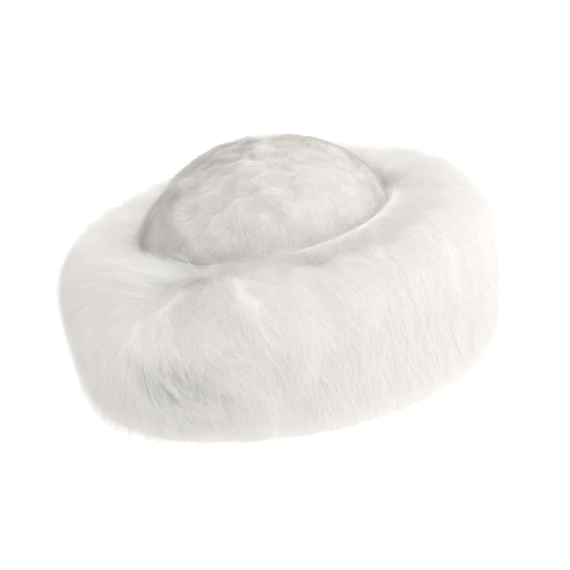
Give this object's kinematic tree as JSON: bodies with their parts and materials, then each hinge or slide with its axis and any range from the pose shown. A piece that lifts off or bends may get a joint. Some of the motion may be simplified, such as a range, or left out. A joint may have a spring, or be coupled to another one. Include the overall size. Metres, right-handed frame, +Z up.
{
  "type": "cossack hat",
  "caption": "Cossack fur hat: a low domed crown of short white pile, open below for the head, in a deep, wide cuff of long white fur.",
  "frame": {"origin": "on the floor, under the middle of the hat's bounding box, in the plane of the cuff's flat underside", "axes": "+Z up through the crown, -Y to the wearer's front, +X to the right as seen from the front"},
  "size_m": [0.3262, 0.354, 0.1685],
  "materials": {
    "short_pile": "white alpaca fur, short and soft, matt",
    "long_fur": "white alpaca fur, long and fine, matt with a faint sheen"
  },
  "bodies": {
    "root": {"crown": "short_pile", "cuff": "long_fur"}
  },
  "joints": []
}
